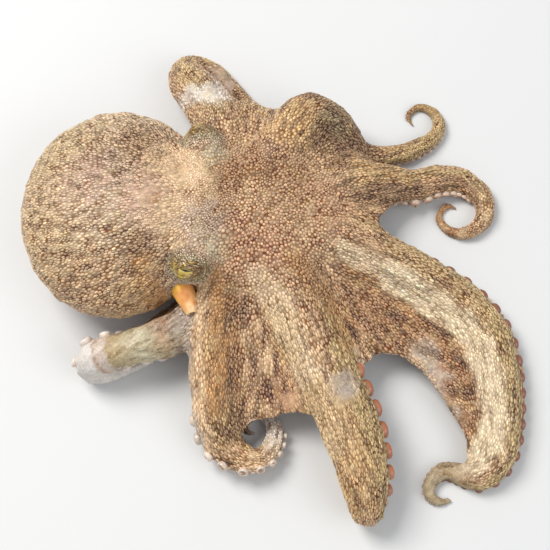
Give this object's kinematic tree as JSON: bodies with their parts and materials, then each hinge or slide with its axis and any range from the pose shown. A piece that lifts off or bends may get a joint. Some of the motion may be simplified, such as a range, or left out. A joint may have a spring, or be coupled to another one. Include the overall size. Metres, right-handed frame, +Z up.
{
  "type": "octopus",
  "caption": "Life-size common octopus resting on the floor, mantle to one side and webbed, suckered arms spread and curled, as a still display model in named pieces.",
  "frame": {"origin": "on the floor, under the middle of the bounding box", "axes": "+X from the mantle towards the front arms, +Y to the animal's left, +Z up"},
  "size_m": [0.1996, 0.2042, 0.0485],
  "materials": {
    "skin": "wet, fine pale granules on a brown network",
    "eye": "glossy gold-green iris with a dark slit",
    "funnel": "wet, smooth, orange-yellow"
  },
  "bodies": {
    "root": {"mantle": "skin", "head": "skin", "eye_right": "eye", "eye_left": "eye", "funnel": "funnel", "web_r3_r2": "skin", "web_r2_r1": "skin", "web_r1_l1": "skin", "web_l1_l2": "skin", "web_l2_l3": "skin", "arm_r1_base": "skin", "arm_r1_mid": "skin", "arm_r1_tip": "skin", "arm_r2_base": "skin", "arm_r2_mid": "skin", "arm_r2_tip": "skin", "arm_r3_base": "skin", "arm_r3_mid": "skin", "arm_r3_tip": "skin", "arm_r4_base": "skin", "arm_r4_mid": "skin", "arm_r4_tip": "skin", "arm_l1_base": "skin", "arm_l1_mid": "skin", "arm_l1_tip": "skin", "arm_l2_base": "skin", "arm_l2_mid": "skin", "arm_l2_tip": "skin", "arm_l3_base": "skin", "arm_l3_mid": "skin", "arm_l3_tip": "skin", "arm_l4_base": "skin", "arm_l4_mid": "skin", "arm_l4_tip": "skin"}
  },
  "joints": []
}
